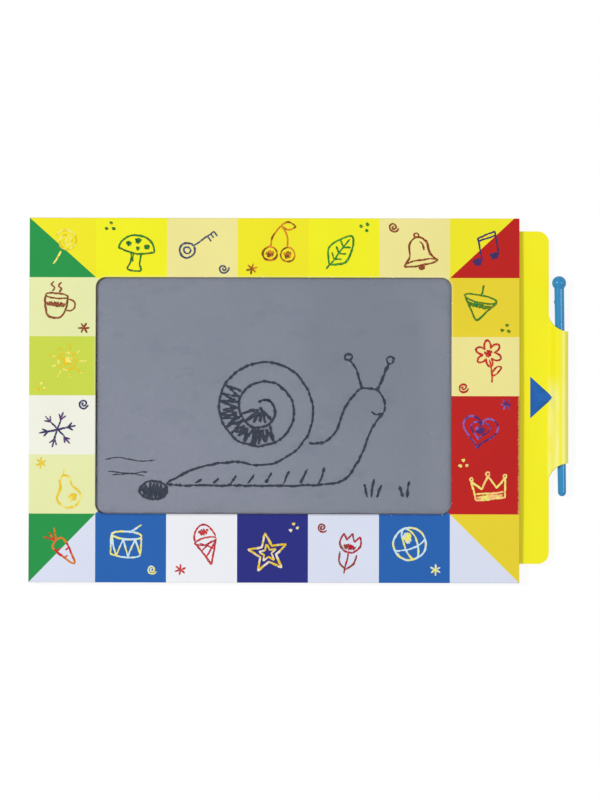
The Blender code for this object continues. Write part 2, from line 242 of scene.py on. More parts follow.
def gridded(bm, columns, rows, start=-math.inf):
    """Cut a flat mesh along lines of x and of y, and clear away the edges that follow neither.

    Faces that lie wholly left of the start keep their edges.
    """
    for axis, places in ((0, columns), (1, rows)):
        normal = Vector((1, 0, 0)) if axis == 0 else Vector((0, 1, 0))
        for place in places:
            faces = [face for face in bm.faces if max(vert.co.x for vert in face.verts) > start]
            edges = dict.fromkeys(edge for face in faces for edge in face.edges)
            verts = dict.fromkeys(vert for face in faces for vert in face.verts)
            cut = {"geom": [*verts, *edges, *faces], "dist": CUT_REACH}
            bmesh.ops.bisect_plane(bm, **cut, plane_co=normal * place, plane_no=normal)
    slanted = []
    for edge in bm.edges:
        first, second = [vert.co for vert in edge.verts]
        is_slanted = abs(second.x - first.x) > CUT_REACH and abs(second.y - first.y) > CUT_REACH
        if is_slanted and not edge.is_boundary and max(first.x, second.x) > start:
            slanted.append(edge)
    bmesh.ops.dissolve_edges(bm, edges=slanted, use_verts=False)
    on_a_line = [vert for vert in bm.verts if len(vert.link_edges) == 2 and not vert.is_boundary]
    bmesh.ops.dissolve_verts(bm, verts=on_a_line)


def skin(bm, rings):
    """Faces from each ring of points to the next."""
    for ring, following in pairwise(rings):
        for side in range(len(ring)):
            beside = (side + 1) % len(ring)
            bm.faces.new((ring[side], ring[beside], following[beside], following[side]))


def added(name, data):
    """A new object in the scene."""
    made = bpy.data.objects.new(name, data)
    bpy.context.scene.collection.objects.link(made)
    return made


def added_mesh(name, bm, material):
    """A new object made of a finished mesh and its material."""
    mesh = bpy.data.meshes.new(name)
    bm.to_mesh(mesh)
    bm.free()
    mesh.materials.append(material)
    return added(name, mesh)


def made_piece(name, bm, material, body):
    """One named piece, riding on a body."""
    bmesh.ops.recalc_face_normals(bm, faces=bm.faces)
    made = added_mesh(name, bm, material)
    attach(made, body)
    return made


def thicken(made, thickness):
    """Give a sheet its thickness, half to each side."""
    solid = made.modifiers.new("thickness", "SOLIDIFY")
    solid.thickness = thickness
    solid.offset = 0
    solid.use_even_offset = True


def soften(made, width, steps, method="ANGLE"):
    """Round a piece's edges."""
    bevel = made.modifiers.new("rounding", "BEVEL")
    bevel.width = width
    bevel.segments = steps
    bevel.limit_method = method
    bevel.angle_limit = SHARP_ANGLE
    bevel.harden_normals = True


# Pieces


def eased(share):
    """0 to 1 along an S curve that is level at both ends."""
    return share * share * (3 - 2 * share)


def bulge(x, y):
    """How far the front board stands up at a point. It is flat as far as the window."""
    out = max(0, (x - WINDOW_RIGHT) / (SLEEVE_RIGHT - WINDOW_RIGHT))
    return BULGE * eased(min(out, 1)) * (1 - (y / SLEEVE_TOP) ** 2)


def build_front(card):
    """The printed front board, with its die-rounded edges."""
    outer = rectangle(SLEEVE_LEFT, SLEEVE_RIGHT, SLEEVE_BOTTOM, SLEEVE_TOP)
    window = rectangle(WINDOW_LEFT, WINDOW_RIGHT, WINDOW_BOTTOM, WINDOW_TOP, WINDOW_CORNER)
    bm = flat_sheet(outer, window)
    border = SLEEVE_RIGHT - WINDOW_RIGHT
    columns = [WINDOW_RIGHT + border * step / BULGE_COLUMNS for step in range(1, BULGE_COLUMNS)]
    rows = [SLEEVE_TOP * (2 * step / BULGE_ROWS - 1) for step in range(1, BULGE_ROWS)]
    gridded(bm, columns, rows, columns[0] + CUT_SLACK)
    bmesh.ops.translate(bm, verts=bm.verts, vec=(0, 0, FRONT_LOW.z))
    raised = bmesh.ops.extrude_face_region(bm, geom=bm.faces[:])
    lifted = [item for item in raised["geom"] if isinstance(item, bmesh.types.BMVert)]
    bmesh.ops.translate(bm, verts=lifted, vec=(0, 0, FRONT_HIGH.z - FRONT_LOW.z))
    bm.normal_update()
    weights = bm.edges.layers.float.new("bevel_weight_edge")
    for edge in bm.edges:
        levels = {abs(face.normal.z) > 0.5 for face in edge.link_faces}
        if len(levels) == 2:
            on_face = edge.verts[0].co.z > FRONT_LOW.z + FACE_ROUNDING
            at_mouth = all(vert.co.x > SLEEVE_RIGHT - FACE_ROUNDING for vert in edge.verts)
            edge[weights] = 1.0 if on_face and not at_mouth else BACK_ROUNDING_SHARE
    for vert in bm.verts:
        vert.co.z += bulge(vert.co.x, vert.co.y)
    front = made_piece("printed_front", bm, card, "sleeve")
    front.data.shade_smooth()
    soften(front, FACE_ROUNDING, ROUNDING_STEPS, "WEIGHT")
    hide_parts("front_frame")


def tongue_line():
    """Middle line of the rolled tongue as (x, z) points, from the tab's edge to the end of the lap."""
    crest = STYLUS_Z + BEND_HEIGHT
    sole = STYLUS_Z - BEND_HEIGHT
    lap = SHEET_MIDDLE - SHEET_THICKNESS - WELD_GAP
    lap_start = TAB_EDGE + LAP_LEAD
    line = []
    for step in range(RAMP_STEPS + 1):
        share = 1 - math.cos(math.pi / 2 * step / RAMP_STEPS)
        height = SHEET_MIDDLE + eased(share) * (crest - SHEET_MIDDLE)
        line.append((TAB_EDGE + share * (RAMP_END - TAB_EDGE), height))
    for step in range(BEND_STEPS + 1):
        angle = math.pi / 2 - math.pi * step / BEND_STEPS
        line.append((STYLUS_X + BEND_WIDTH * math.cos(angle), STYLUS_Z + BEND_HEIGHT * math.sin(angle)))
    for step in range(1, RETURN_STEPS + 1):
        share = step / RETURN_STEPS
        line.append((STYLUS_X + share * (lap_start - STYLUS_X), sole + eased(share) * (lap - sole)))
    line.append((TAB_EDGE - LAP_LENGTH, lap))
    return [Vector(point) for point in line]


TONGUE = tongue_line()
FOLD = max(range(len(TONGUE)), key=lambda index: TONGUE[index].x)
TRAVEL = [0.0]
for start, end in pairwise(TONGUE):
    TRAVEL.append(TRAVEL[-1] + (end - start).length)


def tongue_normal(index):
    """The way out of the loop at a point of the tongue's middle line."""
    last = len(TONGUE) - 1
    if index in (0, last):
        return Vector((0, 1 if index == 0 else -1))
    run = (TONGUE[index + 1] - TONGUE[index - 1]).normalized()
    return Vector((-run.y, run.x))


def ripple(out, y):
    """How far the sheet stands off its smooth shape, at a distance out along the tongue."""
    if not 0 < out < TRAVEL[FOLD]:
        return 0
    fade = math.sin(math.pi * out / TRAVEL[FOLD]) ** 2
    lower = RIPPLE_MIDDLE - (y - SLIDER_Y) / (LOOP_LENGTH / 2)
    wave = noise.noise(Vector((out / RIPPLE_LENGTH, y / RIPPLE_LENGTH, RIPPLE_SLICE)))
    return RIPPLE_HEIGHT * fade * max(lower, RIPPLE_LEAST) * wave


def rolled(along, y, lift=0.0):
    """Where a point of the flat sheet lies once its tongue is rolled. Along is its x in the flat sheet."""
    out = along - TAB_EDGE
    if out <= 0:
        return Vector((along, y, SHEET_MIDDLE + lift))
    index = min(bisect_right(TRAVEL, out) - 1, len(TONGUE) - 2)
    share = (out - TRAVEL[index]) / (TRAVEL[index + 1] - TRAVEL[index])
    place = TONGUE[index].lerp(TONGUE[index + 1], share)
    normal = tongue_normal(index).lerp(tongue_normal(index + 1), share).normalized()
    place += normal * (lift + ripple(out, y))
    return Vector((place.x, y, place.y))


def tongue_half_width(out):
    """Half the tongue's width at a distance out from the tab's edge, into which it flares with a fillet."""
    left_to_turn = max(0, TONGUE_FILLET - out)
    return LOOP_LENGTH / 2 + TONGUE_FILLET - math.sqrt(TONGUE_FILLET**2 - left_to_turn**2)


def sheet_rows():
    """Where the tongue is cut into rows along y."""
    return [SLIDER_Y + LOOP_LENGTH * (step / SHEET_ROWS - 0.5) for step in range(SHEET_ROWS + 1)]


def build_slider(plastic):
    """The slider: die-cut as a flat sheet, then its tongue rolled, then given its thickness."""
    low, high = SLIDER_LOW.y, SLIDER_HIGH.y
    left = SLIDER_LOW.x
    side = []
    for index, travel in enumerate(TRAVEL):
        half_width = LOOP_LENGTH / 2
        if index < FOLD:
            half_width = tongue_half_width(TONGUE[index].x - TAB_EDGE)
        side.append((TAB_EDGE + travel, half_width))
    rim = outline(
        (left, low, CUT_CORNER),
        (TAB_EDGE, low, TAB_CORNER),
        *[(along, SLIDER_Y - half, 0) for along, half in side],
        *[(along, SLIDER_Y + half, 0) for along, half in reversed(side)],
        (TAB_EDGE, high, TAB_CORNER),
        (left, high, CUT_CORNER),
    )
    cut = (left + BAR_WIDTH, SLEEVE_RIGHT - TAB_ROOT, low + ARM_WIDTH, high - ARM_WIDTH)
    bm = flat_sheet(rim, rectangle(*cut, CUT_CORNER))
    columns = [*cut[:2], TAB_EDGE - FLAT_MARGIN, *[TAB_EDGE + travel for travel in TRAVEL[:-1]]]
    gridded(bm, columns, sheet_rows())
    for vert in bm.verts:
        vert.co = rolled(vert.co.x, vert.co.y)
    slider = made_piece("slider", bm, plastic, "slider")
    slider.data.shade_smooth()
    thicken(slider, SHEET_THICKNESS)
    soften(slider, EDGE_SOFTENING, EDGE_STEPS)
    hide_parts("slider_sheet")


def build_arrow(ink):
    """The printed triangle, which follows the sheet up the tongue's ramp."""
    start = SLEEVE_RIGHT + ARROW_OFFSET
    tip = start + ARROW_LENGTH
    half = ARROW_HEIGHT / 2
    bm = flat_sheet([(start, SLIDER_Y - half), (tip, SLIDER_Y), (start, SLIDER_Y + half)])
    columns = [TAB_EDGE + travel for travel in TRAVEL if TAB_EDGE + travel < tip]
    rows = [row for row in sheet_rows() if abs(row - SLIDER_Y) < half]
    gridded(bm, [TAB_EDGE - FLAT_MARGIN, *columns], rows)
    for vert in bm.verts:
        vert.co = rolled(vert.co.x, vert.co.y, SHEET_THICKNESS / 2 + INK_THICKNESS)
    arrow = made_piece("arrow_print", bm, ink, "slider")
    arrow.data.shade_smooth()
    thicken(arrow, INK_THICKNESS)
    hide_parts("arrow_label")


def stylus_radius(along):
    """The stylus's radius at a place along it, before the mould's marks."""
    tip, rod, ball = TIP_DIAMETER / 2, ROD_DIAMETER / 2, BALL_DIAMETER / 2
    ball_centre = STYLUS_ABOVE - ball
    across = rod + NECK_FILLET
    neck_start = ball_centre - math.sqrt((ball + NECK_FILLET) ** 2 - across**2)
    neck_end = neck_start + NECK_FILLET * (ball_centre - neck_start) / (ball + NECK_FILLET)
    tip_centre = tip - STYLUS_BELOW
    if along < tip_centre:
        return math.sqrt(max(tip**2 - (along - tip_centre) ** 2, 0))
    if along < neck_start:
        return tip + (rod - tip) * (along - tip_centre) / (neck_start - tip_centre)
    if along < neck_end:
        return across - math.sqrt(NECK_FILLET**2 - (along - neck_start) ** 2)
    return math.sqrt(max(ball**2 - (along - ball_centre) ** 2, 0))


def stylus_places():
    """Places of the stylus's rings, closest together at its round ends, on the ball and at the gate mark."""
    places = []
    for step in range(1, STYLUS_RINGS):
        share = (1 - math.cos(math.pi * step / STYLUS_RINGS)) / 2
        places.append(STYLUS_LENGTH * share - STYLUS_BELOW)
    ball_start = STYLUS_ABOVE - 2 * BALL_DIAMETER
    places += [ball_start + 2 * BALL_DIAMETER * step / BALL_RINGS for step in range(1, BALL_RINGS)]
    places += [GATE_PLACE + GATE_WIDTH * (step / GATE_RINGS - 1) * 2 for step in range(2 * GATE_RINGS + 1)]
    return sorted(places)


def build_stylus(plastic):
    """The moulded stylus, leaning a little in its loop."""
    bm = bmesh.new()
    rings = []
    for along in stylus_places():
        ring = []
        for side in range(STYLUS_SIDES):
            angle = math.tau * side / STYLUS_SIDES
            radius = stylus_radius(along)
            parting = max(0, abs(math.cos(angle)) - PARTING_FROM) / PARTING_SPAN
            radius += PARTING_HEIGHT * parting * min(1, radius / (TIP_DIAMETER / 2))
            reach = math.hypot(along - GATE_PLACE, radius * math.remainder(angle - math.pi, math.tau))
            radius += GATE_HEIGHT * math.exp(-((reach / GATE_WIDTH) ** 2) * 2)
            ring.append(bm.verts.new((radius * math.cos(angle), along, radius * math.sin(angle))))
        rings.append(ring)
    skin(bm, rings)
    bottom = bm.verts.new((0, -STYLUS_BELOW, 0))
    top = bm.verts.new((0, STYLUS_ABOVE, 0))
    for side in range(STYLUS_SIDES):
        beside = (side + 1) % STYLUS_SIDES
        bm.faces.new((rings[0][beside], rings[0][side], bottom))
        bm.faces.new((rings[-1][side], rings[-1][beside], top))
    place = Matrix.Translation((STYLUS_X, SLIDER_Y, STYLUS_Z)) @ Matrix.Rotation(STYLUS_TILT, 4, "Z")
    bmesh.ops.transform(bm, matrix=place, verts=bm.verts)
    stylus = made_piece("moulded_stylus", bm, plastic, "stylus")
    stylus.data.shade_smooth()
    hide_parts("stylus")


# Finishes


def tint(red, green, blue):
    """A colour as it looks on a screen, 0 to 255, turned into the linear one that a shader takes."""
    linear = []
    for level in (red, green, blue):
        share = level / 255
        linear.append(share / 12.92 if share <= 0.04045 else ((share + 0.055) / 1.055) ** 2.4)
    return (*linear, 1.0)


LEMON = tint(241, 238, 34)
WARM_LEMON = tint(239, 231, 38)
CREAM = tint(238, 228, 148)
AMBER = tint(232, 210, 50)
GREEN = tint(36, 146, 72)
PALE_LIME = tint(229, 233, 172)
LIME = tint(200, 215, 74)
IVORY = tint(238, 239, 224)
COLD_WHITE = tint(236, 238, 243)
LILAC_WHITE = tint(217, 223, 240)
BLUE = tint(38, 97, 174)
NAVY = tint(40, 44, 126)
RED = tint(187, 30, 27)
RAW_CARD, RAW_CARD_DARK = tint(222, 166, 96), tint(190, 136, 74)
# The pale card of the flecks, also used for the painted highlight along the window's edge.
FLECK_AND_HIGHLIGHT_CARD = tint(244, 240, 226)

# Inks of the printed border, which is mitred at its corners like a picture frame.
TOP_INKS = (WARM_LEMON, LEMON, CREAM, WARM_LEMON, LEMON, CREAM, WARM_LEMON)
BOTTOM_INKS = (LILAC_WHITE, BLUE, COLD_WHITE, NAVY, LILAC_WHITE, BLUE, LILAC_WHITE)
LEFT_INKS = (GREEN, PALE_LIME, LIME, IVORY, PALE_LIME, GREEN)
RIGHT_INKS = (RED, AMBER, CREAM, RED, RED, AMBER)


def new_finish(name):
    """A new material and its node tree."""
    made = bpy.data.materials.new(name)
    made.use_nodes = True
    return made, made.node_tree


def feed(socket, value):
    """Link a socket to what feeds it, or set its plain value."""
    if isinstance(value, bpy.types.NodeSocket):
        socket.id_data.links.new(value, socket)
    else:
        socket.default_value = value


def node(tree, kind, inputs, **settings):
    """Add a node with its settings and its inputs, which are keyed by name or number."""
    made = tree.nodes.new("ShaderNode" + kind)
    for name, value in settings.items():
        setattr(made, name, value)
    for key, value in inputs.items():
        feed(made.inputs[key], value)
    return made


def maths(operation, first, second=0.0):
    """A sum of two numbers, of which one at least comes from a node."""
    fed = first if isinstance(first, bpy.types.NodeSocket) else second
    return node(fed.id_data, "Math", {0: first, 1: second}, operation=operation).outputs[0]


plus = partial(maths, "ADD")
minus = partial(maths, "SUBTRACT")
times = partial(maths, "MULTIPLY")
larger = partial(maths, "MAXIMUM")
smaller = partial(maths, "MINIMUM")
above = partial(maths, "GREATER_THAN")


def mixed(share, first, second):
    """A colour part way between two others."""
    return node(share.id_data, "Mix", {0: share, 6: first, 7: second}, data_type="RGBA").outputs[2]


def mixed_number(share, first, second):
    """A number part way between two others."""
    return node(share.id_data, "Mix", {0: share, 2: first, 3: second}, data_type="FLOAT").outputs[0]


def fitted(value, low, high, to_low=0.0, to_high=1.0, **settings):
    """A value's span between low and high stretched to another span, and held at its ends."""
    inputs = {0: value, 1: low, 2: high, 3: to_low, 4: to_high}
    return node(value.id_data, "MapRange", inputs, **settings).outputs[0]


def shaded(colour, level):
    """A colour made darker or lighter as a whole."""
    return node(colour.id_data, "VectorMath", {0: colour, "Scale": level}, operation="SCALE").outputs[0]


def here(tree):
    """A point's place on the piece, in metres."""
    return node(tree, "TexCoord", {}).outputs["Object"]


def place_on(tree):
    """A point's x, y and z on the piece, in metres."""
    return node(tree, "SeparateXYZ", {0: here(tree)}).outputs


def grain(tree, size, detail=2.0, stretch=(1, 1, 1)):
    """Cloudy noise, 0 to 1, whose lumps have about the given size in metres, stretched along each axis."""
    scale = tuple(1 / (size * share) for share in stretch)
    place = node(tree, "Mapping", {"Vector": here(tree), "Scale": scale}).outputs[0]
    return node(tree, "TexNoise", {"Vector": place, "Scale": 1.0, "Detail": detail}).outputs[0]


def cloudy(tree, low, high, *settings):
    """Grain of the given settings, stretched to a span."""
    return fitted(grain(tree, *settings), 0.3, 0.7, low, high)


def bumped(height, distance):
    """A surface normal for a height that varies from 0 to 1, over a distance in metres."""
    return node(height.id_data, "Bump", {"Height": height, "Distance": distance, "Strength": 1.0}).outputs[0]


def dress(made, colour, roughness, normal=None, gloss=0.5, **others):
    """Feed a material's shader its colour, its roughness, its normal, its gloss and any other inputs."""
    inputs = {"Base Color": colour, "Roughness": roughness, "Specular IOR Level": gloss, **others}
    if normal is not None:
        inputs["Normal"] = normal
    for name, value in inputs.items():
        feed(made.node_tree.nodes["Principled BSDF"].inputs[name.replace("_", " ")], value)
    return made


def ink_row(place, first, last, inks):
    """The inks of one side of the border: a corner, the blocks from first to last, and the other corner."""
    count = len(inks)
    block = maths("FLOOR", fitted(place, first, last, 1, count - 1, clamp=False))
    block = smaller(larger(block, 0), count - 1)
    ramp = node(place.id_data, "ValToRGB", {0: maths("DIVIDE", plus(block, 0.5), count)})
    stops = ramp.color_ramp
    stops.interpolation = "CONSTANT"
    while len(stops.elements) < count:
        stops.elements.new(0.5)
    for index, ink in enumerate(inks):
        stops.elements[index].position = index / count
        stops.elements[index].color = ink
    return ramp.outputs[0]


def printed_border(x, y):
    """The coloured blocks. How far out a point lies each way gives its side of the border."""
    out_left = fitted(x, WINDOW_LEFT, SLEEVE_LEFT, clamp=False)
    mitre_end = fitted(y, 0, WINDOW_TOP, SLEEVE_RIGHT, SLEEVE_RIGHT - MITRE_SHORT)
    out_right = fitted(x, BLOCKS_RIGHT, mitre_end, clamp=False)
    out_top = fitted(y, WINDOW_TOP, SLEEVE_TOP, clamp=False)
    out_bottom = fitted(y, WINDOW_BOTTOM, SLEEVE_BOTTOM, clamp=False)
    left, right = [ink_row(y, WINDOW_TOP, WINDOW_BOTTOM, inks) for inks in (LEFT_INKS, RIGHT_INKS)]
    top, bottom = [ink_row(x, WINDOW_LEFT, BLOCKS_RIGHT, inks) for inks in (TOP_INKS, BOTTOM_INKS)]
    sides = mixed(above(out_right, out_left), left, right)
    ends = mixed(above(out_bottom, out_top), top, bottom)
    return mixed(above(larger(out_top, out_bottom), larger(out_left, out_right)), sides, ends)


def bulged_top(x, y):
    """Height of the front board's printed face above a point, with its bulge."""
    out = fitted(x, WINDOW_RIGHT, SLEEVE_RIGHT, interpolation_type="SMOOTHSTEP")
    across = maths("DIVIDE", y, SLEEVE_TOP)
    arch = minus(1, times(across, across))
    return fitted(times(out, arch), 0, 1, FRONT_HIGH.z, FRONT_HIGH.z + BULGE)


def past_window(x, y):
    """How far a point lies outside the window's rounded edge, in metres. Inside it is minus."""
    reaches = []
    for place, low, high in ((x, WINDOW_LEFT, WINDOW_RIGHT), (y, WINDOW_BOTTOM, WINDOW_TOP)):
        away = maths("ABSOLUTE", minus(place, (low + high) / 2))
        reaches.append(minus(away, (high - low) / 2 - WINDOW_CORNER))
    beyond = [larger(reach, 0) for reach in reaches]
    outside = maths("SQRT", plus(*[times(reach, reach) for reach in beyond]))
    inside = smaller(larger(*reaches), 0)
    return minus(plus(outside, inside), WINDOW_CORNER)


def printed_card():
    """Printed and laminated card. Its tan core shows low on the cut walls, and at the worn red end.

    The window's pressed edge is painted darker as shade, in a wide band along the bottom and in a narrow one
    elsewhere, beside a painted pale highlight line that is left out on red and along the bottom.
    """
    made, tree = new_finish("printed card")
    x, y, z = place_on(tree)
    ink = printed_border(x, y)
    is_red = above(0.05, node(tree, "SeparateColor", {0: ink}).outputs["Green"])
    ink = shaded(ink, cloudy(tree, 0.975, 1.015, 0.030))
    ink = shaded(ink, fitted(grain(tree, 0.0007, 3), 0.60, 0.85, 1.0, 0.90))
    worn = cloudy(tree, 0.6, 1.4, 0.0014, 3)
    drop = minus(bulged_top(x, y), z)
    wall = above(drop, times(worn, 0.00062))
    fibre = mixed(grain(tree, 0.0006, 3, (1, 1, 0.2)), RAW_CARD, RAW_CARD_DARK)
    worn_end = above(cloudy(tree, 0.0001, 0.0011, 0.0008, 3), minus(SLEEVE_RIGHT, x))
    worn_end = times(worn_end, times(is_red, fitted(y, *WORN_RED)))
    past = past_window(x, y)
    low_down = fitted(y, WINDOW_BOTTOM + WINDOW_CORNER / 2, WINDOW_BOTTOM)
    # Painted shade: the ink darkens along the window's edge, in a wide band at the bottom, a narrow one
    # elsewhere.
    painted_edge_shade = fitted(past, 0.00010, fitted(low_down, 0, 1, 0.00045, 0.0011), 0.62, 1.0)
    colour = mixed(larger(wall, worn_end), shaded(ink, painted_edge_shade), fibre)
    # Painted highlight: a pale line just outside the window's edge, left out on red and along the bottom.
    painted_edge_highlight = times(fitted(past, 0.0011, 0.0005), fitted(past, 0.0003, 0.0005))
    no_edge_highlight = larger(low_down, is_red)
    painted_edge_highlight = times(painted_edge_highlight, fitted(no_edge_highlight, 0, 1, 0.28, 0.0))
    colour = mixed(painted_edge_highlight, colour, FLECK_AND_HIGHLIGHT_CARD)
    rim = fitted(past, 0.0008, 0.0005)
    chip = above(grain(tree, 0.0016, 3), 0.70)
    colour = mixed(times(rim, chip), colour, FLECK_AND_HIGHLIGHT_CARD)
    roughness = mixed_number(wall, cloudy(tree, 0.34, 0.44, 0.004), 0.9)
    return dress(made, colour, roughness, bumped(grain(tree, 0.0009, 3), 0.00001), gloss=0.15)


def greyboard():
    """Grey millboard with fibres and darker flecks."""
    made, tree = new_finish("greyboard")
    base = mixed(grain(tree, 0.02), tint(158, 150, 138), tint(172, 165, 152))
    fibre = fitted(grain(tree, 0.0009, 4, (3, 1, 0.4)), 0.35, 0.65)
    base = mixed(fibre, base, tint(150, 143, 130))
    fleck = fitted(grain(tree, 0.0012, 2), 0.68, 0.74)
    colour = mixed(fleck, base, tint(118, 110, 98))
    roughness = fitted(fibre, 0, 1, 0.82, 0.95)
    return dress(made, colour, roughness, bumped(fibre, 0.00003), gloss=0.2)


def layered_card():
    """White card, whose cut edges show its plies."""
    made, tree = new_finish("white card")
    plies = fitted(grain(tree, 0.0006, 3, (8, 8, 0.35)), 0.35, 0.65)
    base = mixed(plies, tint(228, 225, 216), tint(203, 197, 184))
    colour = mixed(cloudy(tree, 0, 0.3, 0.01), base, tint(215, 210, 198))
    return dress(made, colour, fitted(plies, 0, 1, 0.75, 0.9), bumped(plies, 0.00004), gloss=0.2)


def black_wax():
    """Black wax on board, with the faint strokes of the coater."""
    made, tree = new_finish("black wax")
    stroke = grain(tree, 0.002, 3, (14, 1, 1))
    colour = mixed(stroke, tint(20, 21, 24), tint(38, 39, 43))
    roughness = cloudy(tree, 0.25, 0.45, 0.006, 3)
    return dress(made, colour, roughness, bumped(stroke, 0.00002), gloss=0.5)


def grey_film():
    """Thin grey film over black wax, its tone darker round a patch above and right of its middle and towards
    its top right, with a painted shadow line along the window's edge that is darkest on the left.
    """
    made, tree = new_finish("grey film")
    x, y, _ = place_on(tree)
    # Broad tone: darker at a patch up and right of the middle and to the top right, lighter at the right end.
    slope = fitted(plus(x, y), WINDOW_LEFT + WINDOW_BOTTOM, WINDOW_RIGHT + WINDOW_TOP)
    cloud = cloudy(tree, -0.2, 0.2, 0.045, 2)
    across = fitted(x, 0.000, 0.060, -1, 1, clamp=False)
    down = fitted(y, -0.012, 0.060, -1, 1, clamp=False)
    away = plus(times(across, across), times(down, down))
    darker_patch = fitted(plus(away, cloud), 1.5, 0.2, 0, 0.4)
    tone = plus(plus(slope, cloud), darker_patch)
    tone = minus(tone, fitted(x, 0.060, 0.070, 0, 0.35))
    base = mixed(tone, tint(143, 146, 161), tint(126, 133, 145))
    mottle = fitted(grain(tree, 0.0016, 3), 0.25, 0.75, 0, 0.25)
    base = mixed(mottle, base, tint(112, 119, 133))
    smudge = fitted(grain(tree, 0.007, 4, (2, 1, 1)), 0.56, 0.66, 0, 0.25)
    base = mixed(smudge, base, tint(112, 119, 133))
    speck = fitted(grain(tree, 0.0009, 1), 0.74, 0.82, 0, 0.5)
    colour = mixed(speck, base, tint(84, 92, 106))
    fleck = fitted(grain(tree, 0.0012, 1, (1, 0.8, 1.3)), 0.73, 0.78, 0, 0.5)
    colour = mixed(fleck, colour, tint(180, 186, 196))
    # Painted shadow of the window's wall: a dark line, full on the left, half at the bottom, faint elsewhere.
    uneven = cloudy(tree, 0.0003, 0.0008, 0.009, 3)
    painted_shadow_line = above(past_window(x, y), times(uneven, -1))
    at_left = fitted(x, WINDOW_LEFT + 0.010, WINDOW_LEFT + 0.002, 0.12, 1.0)
    low_down = fitted(y, WINDOW_BOTTOM + 0.004, WINDOW_BOTTOM + 0.001, 0, 0.5)
    painted_shadow_line = times(painted_shadow_line, larger(at_left, low_down))
    colour = mixed(painted_shadow_line, colour, tint(40, 44, 42))
    roughness = cloudy(tree, 0.35, 0.5, 0.01, 2)
    return dress(made, colour, roughness, bumped(grain(tree, 0.012, 3), 0.0001), gloss=0.15)


def clear_film():
    """Clear glossy film with a faint veil of rub marks."""
    made, tree = new_finish("clear film")
    rub = grain(tree, 0.003, 4, (6, 1, 1))
    colour = mixed(rub, tint(140, 150, 164), tint(170, 178, 190))
    return dress(made, colour, fitted(rub, 0.3, 0.7, 0.06, 0.16), Alpha=0.05)


def paper_tape():
    """Matt paper tape with crossed fibres."""
    made, tree = new_finish("paper tape")
    weave = times(grain(tree, 0.0008, 3, (1, 7, 1)), grain(tree, 0.0008, 3, (7, 1, 1)))
    colour = mixed(fitted(weave, 0.15, 0.4), tint(196, 190, 176), tint(222, 217, 205))
    return dress(made, colour, fitted(weave, 0.1, 0.4, 0.9, 0.7), bumped(weave, 0.00004), gloss=0.2)


def yellow_plastic():
    """Flexible yellow sheet, satin with a long roller grain, with pale glare painted on its ramp and a pale
    highlight painted past its crest.
    """
    made, tree = new_finish("yellow plastic")
    x, y, _ = place_on(tree)
    base = mixed(fitted(grain(tree, 0.018, 2), 0.3, 0.7), tint(246, 237, 14), tint(243, 239, 22))
    scratch = fitted(grain(tree, 0.0022, 4, (1, 9, 1)), 0.6, 0.85, 0, 0.12)
    base = mixed(scratch, base, tint(243, 238, 84))
    on_ramp = times(fitted(x, TAB_EDGE - 0.001, TAB_EDGE), fitted(x, RAMP_END + 0.001, RAMP_END))
    # Painted reflection: pale glare streaks on the ramp, between two heights.
    glare_band = times(fitted(y, *GLARE_TOP), fitted(y, *GLARE_BOTTOM))
    streak = fitted(grain(tree, 0.0040, 3, (1, 4, 1)), 0.35, 0.65, 0.3, 0.95)
    painted_ramp_glare = times(on_ramp, times(glare_band, streak))
    # Painted highlight: a pale streak past the crest, stronger between the glare's two heights.
    past_crest = fitted(x, STYLUS_X - 0.0008, STYLUS_X + 0.0006)
    painted_crest_highlight = times(past_crest, fitted(glare_band, 0, 1, 0.40, 0.62))
    colour = mixed(larger(painted_ramp_glare, painted_crest_highlight), base, tint(248, 245, 142))
    roughness = mixed_number(on_ramp, cloudy(tree, 0.18, 0.26, 0.0035, 3, (1, 5, 1)), 0.58)
    return dress(made, colour, roughness, bumped(grain(tree, 0.0016, 3, (1, 6, 1)), 0.000008), gloss=0.3)


def blue_print():
    """Blue ink on the tab, with a little of the yellow showing at pinholes."""
    made, tree = new_finish("blue print")
    pin = fitted(grain(tree, 0.0007, 2), 0.72, 0.8, 0, 0.4)
    base = mixed(grain(tree, 0.003, 3), tint(36, 99, 177), tint(42, 106, 184))
    colour = mixed(pin, base, tint(110, 145, 120))
    roughness = cloudy(tree, 0.44, 0.56, 0.002, 3)
    return dress(made, colour, roughness, gloss=0.08)


def blue_plastic():
    """Moulded blue plastic with a soft flow pattern along the rod, its ball less glossy than the rod."""
    made, tree = new_finish("blue plastic")
    flow = grain(tree, 0.0015, 3, (1, 12, 1))
    colour = mixed(fitted(flow, 0.3, 0.7), tint(4, 128, 184), tint(10, 137, 195))
    _, y, _ = place_on(tree)
    ball_low = SLIDER_Y + STYLUS_ABOVE - BALL_DIAMETER
    on_ball = fitted(y, ball_low, ball_low + 0.0008)
    roughness = mixed_number(on_ball, cloudy(tree, 0.08, 0.12, 0.002, 3), 0.22)
    return dress(made, colour, roughness, bumped(flow, 0.000001), gloss=0.5)


def crayon(name, ink, accent, paper):
    """Wax crayon in two inks that take turns along the line, a little broken by the paper's grain."""
    made, tree = new_finish(name)
    turns = fitted(grain(tree, 0.0038, 2), 0.46, 0.54)
    tooth = fitted(grain(tree, 0.0007, 3), 0.56, 0.66, 0, 0.35)
    colour = mixed(turns, ink, accent)
    colour = mixed(tooth, colour, paper)
    return dress(made, colour, fitted(tooth, 0, 1, 0.45, 0.7), gloss=0.15)


def slate_mark():
    """Dark marks where the film clings to the wax, lighter where the stylus pressed less."""
    made, tree = new_finish("slate mark")
    press = fitted(grain(tree, 0.0035, 3), 0.35, 0.7)
    speck = fitted(grain(tree, 0.0006, 2), 0.62, 0.78, 0, 0.4)
    colour = mixed(press, tint(18, 26, 42), tint(36, 44, 62))
    colour = mixed(speck, colour, tint(80, 88, 104))
    return dress(made, colour, fitted(press, 0, 1, 0.4, 0.55), gloss=0.1)


